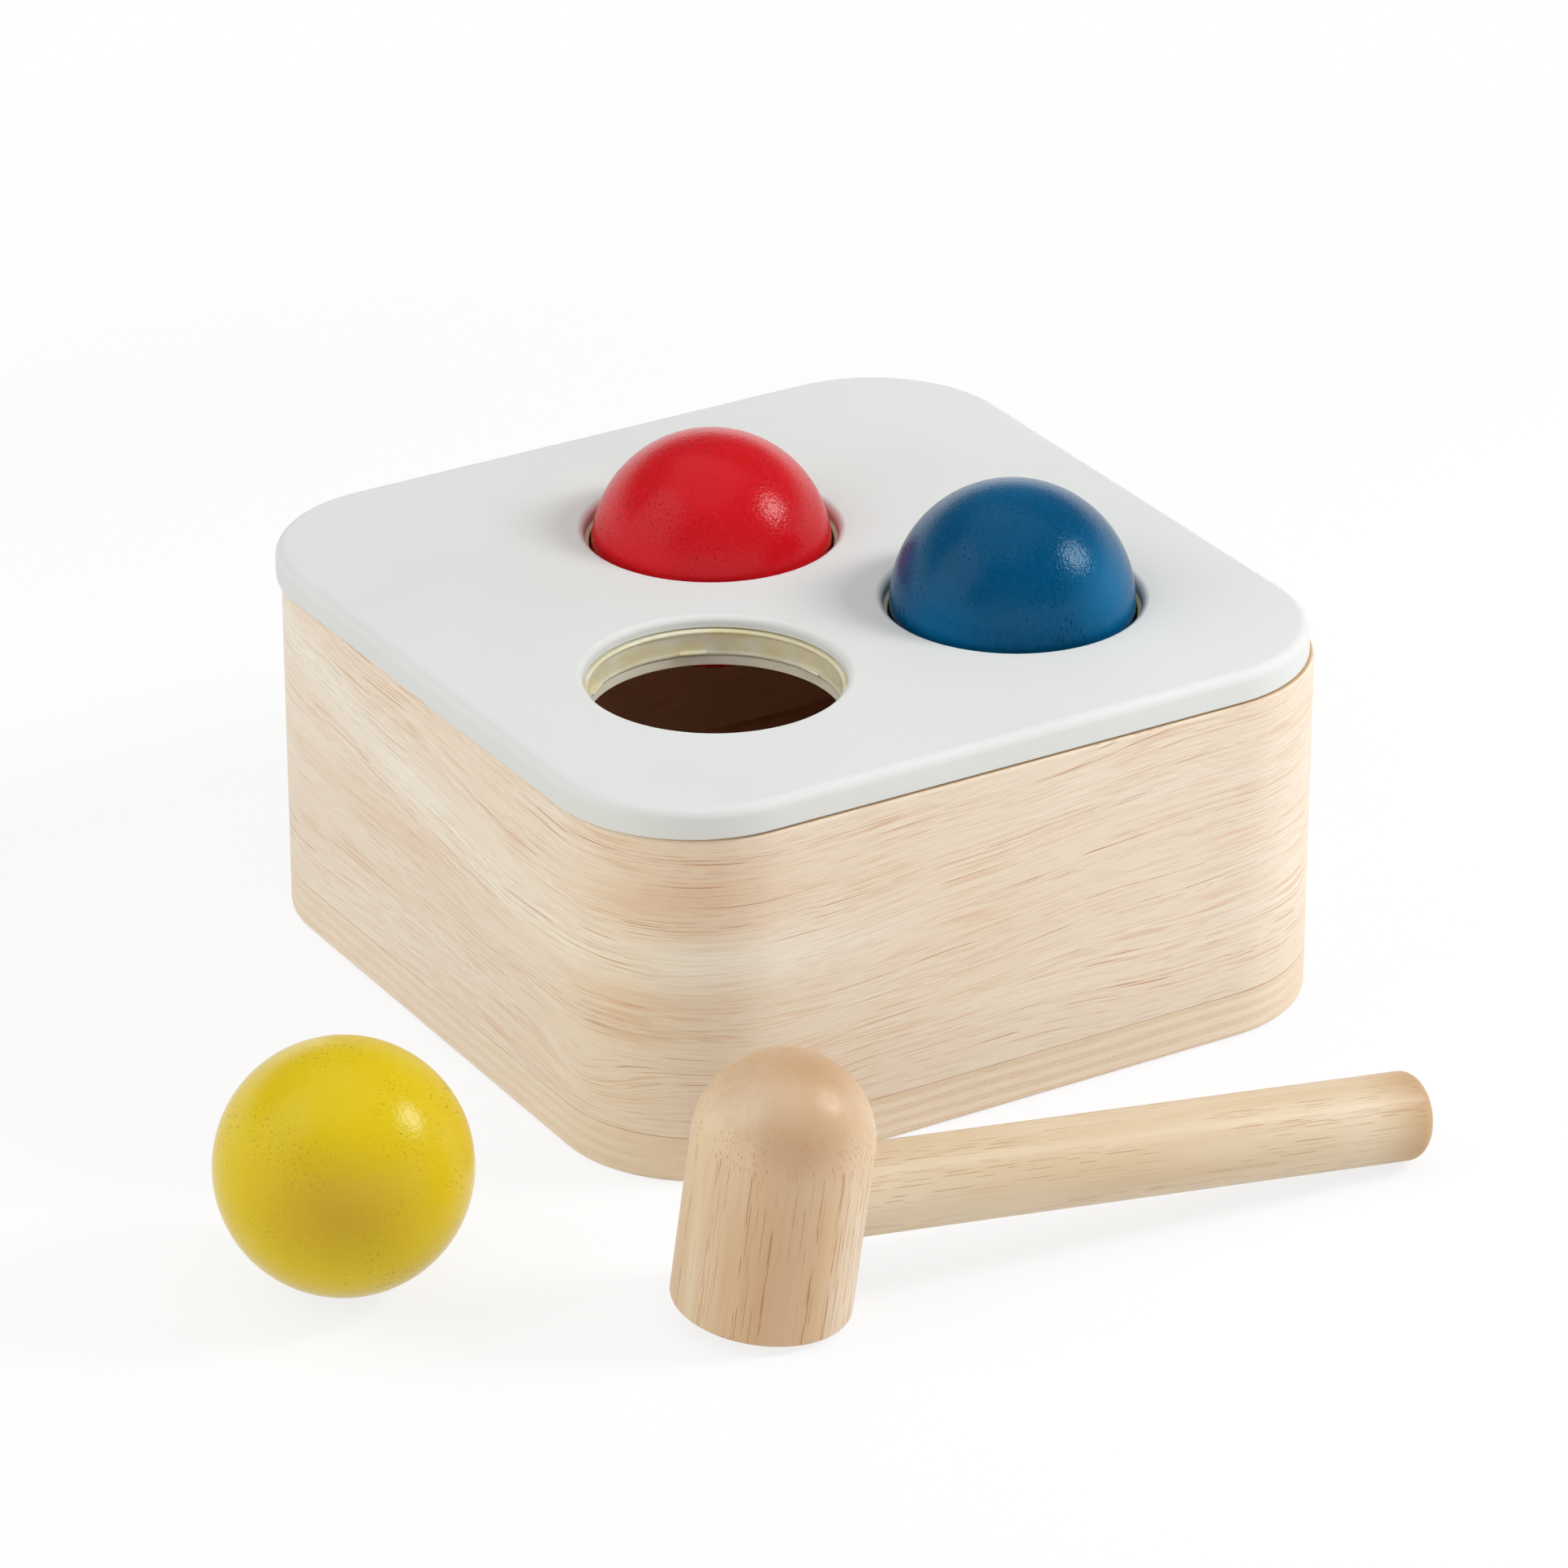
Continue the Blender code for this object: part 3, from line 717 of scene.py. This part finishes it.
def paintedBeech(node, finish):
    # turned hardwood ball, dipped in thin satin paint: a soft sheen broken up by the wood below,
    # pores that show as dots where the grain comes out and as dashes on the flanks,
    # and soft patches of another tone: on the yellow ball where the paint soaked in, on the red ball
    # a darker patch at the front, and on the blue ball painted light, paler teal on its lit right side
    # and on its top, and a painted highlight on its left side
    material, tree, shader = startMaterial(finish["piece"] + "PaintSatin", 0.20, 1.25)
    shader.inputs["Specular Tint"].default_value = linear(finish["sheen"])     # the coat is tinted too
    turn = Vector(finish["grain"]).to_track_quat('X', 'Z').to_euler()
    point = objectPoint(tree, middle(node), turn)
    fine = stretchedNoise(tree, point, ball["fibreSize"], 2.0, 0.6)
    thin = addNode(tree, "MapRange", (fine, 0.4, 0.75, 0, 0.6))
    colour = addNode(tree, "MixRGB", (thin, linear(finish["paint"]), linear(finish["thin"])))
    colour = tonePatches(tree, objectPoint(tree, middle(node)), colour, finish["patches"])
    pores = vesselMarks(tree, point, {**ball["marks"], "strength": finish["poreShare"]})
    colour = addNode(tree, "MixRGB", (pores, colour, linear(finish["pore"])))
    tree.links.new(colour, shader.inputs["Base Color"])
    dull = addNode(tree, "MapRange", (fine, 0.3, 0.7, *ball["roughness"]))
    tree.links.new(dull, shader.inputs["Roughness"])
    satin = stretchedNoise(tree, point, ball["satinSize"])
    relief = addNode(tree, "Math", (pores, -0.5, satin), operation='MULTIPLY_ADD')
    bump = addNode(tree, "Bump", {"Height": relief, "Strength": 0.7, "Distance": ball["reliefDepth"]})
    tree.links.new(bump, shader.inputs["Normal"])
    return material


def buildBalls():
    low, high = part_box("red_ball")
    radius = (high.z - low.z) / 2
    clearSelection()
    bpy.ops.mesh.primitive_cube_add(size=2 * radius)
    pattern = nameNew("ballPattern")
    startEdit(pattern)
    bpy.ops.mesh.select_all(action='SELECT')
    bpy.ops.mesh.subdivide(number_cuts=ball["cuts"])
    endEdit()
    swell = pattern.modifiers.new("round", 'CAST')
    swell.cast_type = 'SPHERE'
    swell.factor = 1.0
    swell.use_radius_as_size = False
    swell.size = radius
    takeUp(pattern)
    bpy.ops.object.modifier_apply(modifier=swell.name)
    bpy.ops.object.shade_smooth()
    for node, finish in ball["finishes"].items():
        takeUp(pattern)
        bpy.ops.object.duplicate(linked=False)
        piece = nameNew(finish["piece"])
        setDown(piece, middle(node))
        finishPiece(piece, paintedBeech(node, finish), node, node, finish["slot"])
    bpy.data.objects.remove(pattern, do_unlink=True)


buildBalls()


# hammer

hammer = {
    "place": (-0.0773, -0.1172), "heading": -5.2, "roll": 3.4,
    "headRadius": 0.0160, "headLength": 0.0481, "dome": 0.0161, "rimRound": 0.0007,
    "handleRadius": 0.0081, "handleReach": 0.1285, "handleHeight": 0.0197, "endRound": 0.0028,
    "socketPast": 0.0065, "socketGap": 0.00005, "handleStart": -0.0062,
    "domeSegments": 28, "rimSegments": 5, "endSegments": 8, "turnSegments": 128, "smoothAngle": 40,
    "figureSize": (90, 9, 9), "streakSize": (30, 1.2, 1.2), "fibreSize": (6, 0.3, 0.3),
    "roughness": (0.36, 0.48), "reliefDepth": 0.08 * mm,
    "domeFade": (33, 42, 1, 0.3),        # heights where the head's vessels grow fainter
    "head": {"pale": "#E9D4B8", "deep": "#DFC19A", "dark": "#C18C55", "vessel": "#A0561C", "gloss": 0.5,
             # painted shade: a darker strip down the front of the head, where little light falls
             "patches": [("#C18C55", (-6, -15, 12), (16, 16, 60), 0.6),
                         ("#A8713F", (-3, -14, 38.5), (13, 13, 8), 0.5),
                         # painted shade: the top of the dome is darker, holding down the strong light that
                         # falls on it
                         ("#BE9266", (3, -3, 48), (26, 26, 20), 0.75),
                         # painted light and reflection: a paler patch on the head's right side, for the
                         # side light and bright surroundings mirrored there
                         ("#F0E2CE", (12, -10, 15), (12, 14, 40), 0.6)],
             "marks": {"length": 10.0, "spacing": 0.36, "halfWidth": 0.08, "breaks": 0.5, "strength": 1.0,
                       "groups": (60.0, 9.0, 9.0), "groupLevel": 0.42}},
    "handle": {"pale": "#E3D1B6", "deep": "#D8BF9C", "dark": "#C39C70", "vessel": "#AE8056", "gloss": 0.2,
               "patches": [("#BD9567", (129, 0, 19.7), (16, 70, 70), 0.85)],
               "marks": {"length": 8.0, "spacing": 0.36, "halfWidth": 0.10, "breaks": 0.52, "strength": 0.6,
                         "groups": (30.0, 5.0, 5.0), "groupLevel": 0.48}},
}


def hammerRest():
    # rolled a little, and leaning so far that the head's rim and the handle's end both touch the floor
    roll = math.radians(hammer["roll"])
    rim = hammer["rimRound"]
    tip = hammer["endRound"]
    low, high = 0, math.pi / 4
    while high - low > tiny:
        lean = (low + high) / 2
        tilt = math.acos(math.cos(lean) * math.cos(roll))
        lift = (hammer["headRadius"] - rim) * math.sin(tilt) + rim * (1 - math.cos(tilt))
        axis = lift + hammer["handleHeight"] * math.cos(roll) * math.cos(lean)
        drop = (hammer["handleReach"] - tip) * math.sin(lean)
        endHeight = axis - drop - (hammer["handleRadius"] - tip) * math.cos(lean) - tip
        low, high = (lean, high) if endHeight > 0 else (low, lean)
    return (*hammer["place"], lift), (roll, lean, math.radians(hammer["heading"]))


def turnedHardwood(name, tones, alongX):
    # turned hardwood under clear satin lacquer: soft growth bands, brown vessel lines along the grain
    # that end in dots where the grain comes out, browner patches where it soaked up lacquer, on the head
    # painted shade down the front and on the dome and painted light on the right side, and a low sheen
    material, tree, shader = startMaterial(name, 0.42, 1.5, tones["gloss"])
    place, turn = hammerRest()
    own = objectPoint(tree, place, turn)
    x, y, z = addNode(tree, "SeparateXYZ", (own,)).node.outputs
    # the head's grain runs up its own axis
    point = own if alongX else addNode(tree, "CombineXYZ", (z, y, x))
    broad = stretchedNoise(tree, point, hammer["figureSize"])
    streak = stretchedNoise(tree, point, hammer["streakSize"], 3.0, 0.6)
    fibre = stretchedNoise(tree, point, hammer["fibreSize"])
    bands = addNode(tree, "MapRange", (broad, 0.36, 0.64))
    colour = addNode(tree, "MixRGB", (bands, linear(tones["pale"]), linear(tones["deep"])))
    colour = tonePatches(tree, own, colour, tones["patches"])
    drawn = addNode(tree, "MapRange", (streak, 0.48, 0.75, 0, 0.2))
    colour = addNode(tree, "MixRGB", (drawn, colour, linear(tones["dark"])))
    drawn = addNode(tree, "MapRange", (fibre, 0.35, 0.7, 0, 0.14))
    colour = addNode(tree, "MixRGB", (drawn, colour, linear(tones["deep"])))
    vessels = vesselMarks(tree, point, tones["marks"])
    if not alongX:                       # finer where the dome cuts across the grain
        domed = addNode(tree, "MapRange", (z, *hammer["domeFade"]))
        vessels = addNode(tree, "Math", (vessels, domed), operation='MULTIPLY')
    colour = addNode(tree, "MixRGB", (vessels, colour, linear(tones["vessel"])))
    tree.links.new(colour, shader.inputs["Base Color"])
    dull = addNode(tree, "MapRange", (streak, 0.3, 0.7, *hammer["roughness"]))
    tree.links.new(dull, shader.inputs["Roughness"])
    relief = addNode(tree, "Math", (fibre, 0.3), operation='MULTIPLY')
    relief = addNode(tree, "Math", (relief, vessels), operation='SUBTRACT')
    bump = addNode(tree, "Bump", {"Height": relief, "Strength": 0.12, "Distance": hammer["reliefDepth"]})
    tree.links.new(bump, shader.inputs["Normal"])
    return material


def headOutline():
    # from the flat face up to the top of the dome
    radius = hammer["headRadius"]
    rim = hammer["rimRound"]
    shoulder = hammer["headLength"] - hammer["dome"]
    yield from arcPoints((radius - rim, rim), rim, -90, 0, hammer["rimSegments"])
    for i in range(hammer["domeSegments"]):
        angle = math.pi / 2 * i / hammer["domeSegments"]
        yield radius * math.cos(angle), shoulder + hammer["dome"] * math.sin(angle)
    yield tiny, hammer["headLength"]


def rodOutline(radius, start, end, endRound, segments):
    yield radius, start
    if endRound:
        yield from arcPoints((radius - endRound, end - endRound), endRound, 0, 90, segments)
    else:
        yield radius, end


def buildHammer():
    place, turn = hammerRest()
    lay = (0, math.pi / 2, 0)            # a rod turned upright is laid along the hammer's own x axis
    level = (0, 0, hammer["handleHeight"])
    head = turnOutline("hammerHead", headOutline(), hammer["turnSegments"], "flat", "pole")
    closeUp(head, hammer["smoothAngle"])
    socketRadius = hammer["handleRadius"] + hammer["socketGap"]
    bore = rodOutline(socketRadius, -hammer["socketPast"], 2 * hammer["headRadius"], 0, 0)
    socket = turnOutline("socket", bore, hammer["turnSegments"])
    closeUp(socket, hammer["smoothAngle"])
    setDown(socket, level, lay)
    combine(head, socket, 'DIFFERENCE')
    takeUp(head)
    bpy.ops.object.shade_smooth_by_angle(angle=math.radians(hammer["smoothAngle"]))
    setDown(head, place, turn)
    rod = rodOutline(hammer["handleRadius"], hammer["handleStart"], hammer["handleReach"],
                     hammer["endRound"], hammer["endSegments"])
    handle = turnOutline("hammerHandle", rod, hammer["turnSegments"])
    closeUp(handle, hammer["smoothAngle"])
    setDown(handle, level, lay)
    setDown(handle, place, turn)
    finishPiece(head, turnedHardwood("headHardwoodSatin", hammer["head"], False),
                "hammer", "hammer_head", "head_wood")
    finishPiece(handle, turnedHardwood("handleHardwoodSatin", hammer["handle"], True),
                "hammer", "hammer_handle", "handle_wood")


buildHammer()


# floor, light and camera

studio = {
    "floorSize": 30.0, "floorDrop": 0.0002, "floorDiffuse": 0.8, "shadowShare": 0.2,
    "shadowNear": 0.22, "shadowFar": 0.5,
    "horizon": 1.38, "zenith": 0.22, "horizonTop": 0.14, "zenithFrom": 0.42,
    "lamps": {
        "key": {"place": (0.62, -0.40, 0.62), "size": 0.28, "power": 4.7},
        "fill": {"place": (-0.88, 0.17, 0.75), "size": 0.85, "power": 3.7},
        "front": {"place": (-0.55, -0.95, 0.40), "size": 1.0, "power": 0.8},
        "overhead": {"place": (-0.10, 0.15, 1.50), "size": 1.6, "power": 6.5},
    },
    "aim": (0.0, 0.0, 0.05),
}
camera = {"place": (-0.6575, -1.0853, 0.6620), "target": (-0.01653, -0.02436, 0.0465), "angle": 11.882}


def seenDirectly(tree):
    # 1 for what the camera sees straight, mirrored or through glass
    rays = addNode(tree, "LightPath").node.outputs
    seen = addNode(tree, "Math", (rays["Is Camera Ray"], rays["Is Glossy Ray"]), operation='MAXIMUM')
    return addNode(tree, "Math", (seen, rays["Is Transmission Ray"]), operation='MAXIMUM')


def buildStudio():
    clearSelection()
    bpy.ops.mesh.primitive_plane_add(size=studio["floorSize"], location=(0, 0, -studio["floorDrop"]))
    bpy.ops.object.transform_apply(location=True, rotation=True, scale=True)
    floor = nameNew("studioFloor")
    material = bpy.data.materials.new("floorPaper")
    material.use_nodes = True
    tree = material.node_tree
    tree.nodes.remove(tree.nodes["Principled BSDF"])
    white = studio["floorDiffuse"]
    lit = addNode(tree, "BsdfDiffuse", {"Color": (white, white, white, 1)})
    share = studio["shadowShare"]
    shadow = addNode(tree, "BsdfDiffuse", {"Color": (share, share, share, 1)})
    glow = addNode(tree, "Emission", {"Strength": 1 - share})
    near = addNode(tree, "AddShader", (shadow, glow))
    far = addNode(tree, "Emission", {"Strength": 1.0})
    coordinate = addNode(tree, "TexCoord", (), "Object")
    distance = addNode(tree, "VectorMath", (coordinate,), "Value", operation='LENGTH')
    fade = addNode(tree, "MapRange", (distance, studio["shadowNear"], studio["shadowFar"]),
                   interpolation_type='SMOOTHSTEP')
    seen = addNode(tree, "MixShader", (fade, near, far))
    surface = addNode(tree, "MixShader", (seenDirectly(tree), lit, seen))
    tree.links.new(surface, tree.nodes["Material Output"].inputs["Surface"])
    floor.data.materials.append(material)

    scene = bpy.context.scene
    scene.view_settings.view_transform = 'Standard'
    world = bpy.data.worlds.new("studioWorld")
    scene.world = world
    world.use_nodes = True
    tree = world.node_tree
    direction = addNode(tree, "TexCoord", (), "Generated")
    height = addNode(tree, "SeparateXYZ", (direction,), 2)
    # a white sweep low down all round, a dim room above it
    strength = addNode(tree, "MapRange", (height, studio["horizonTop"], studio["zenithFrom"],
                                          studio["horizon"], studio["zenith"]),
                       interpolation_type='SMOOTHSTEP')
    tree.nodes["Background"].inputs["Color"].default_value = (1, 1, 1, 1)
    tree.links.new(strength, tree.nodes["Background"].inputs["Strength"])

    for name, lamp in studio["lamps"].items():
        data = bpy.data.lights.new(name, 'AREA')
        data.shape = 'SQUARE'
        data.size = lamp["size"]
        data.energy = lamp["power"]
        light = bpy.data.objects.new(name, data)
        light.location = lamp["place"]
        light.rotation_euler = (Vector(studio["aim"]) - light.location).to_track_quat('-Z', 'Y').to_euler()
        scene.collection.objects.link(light)

    data = bpy.data.cameras.new("camera")
    data.angle = math.radians(camera["angle"])
    view = bpy.data.objects.new("camera", data)
    view.location = camera["place"]
    view.rotation_euler = (Vector(camera["target"]) - view.location).to_track_quat('-Z', 'Y').to_euler()
    scene.collection.objects.link(view)
    scene.camera = view
    print("studio ready")


buildStudio()
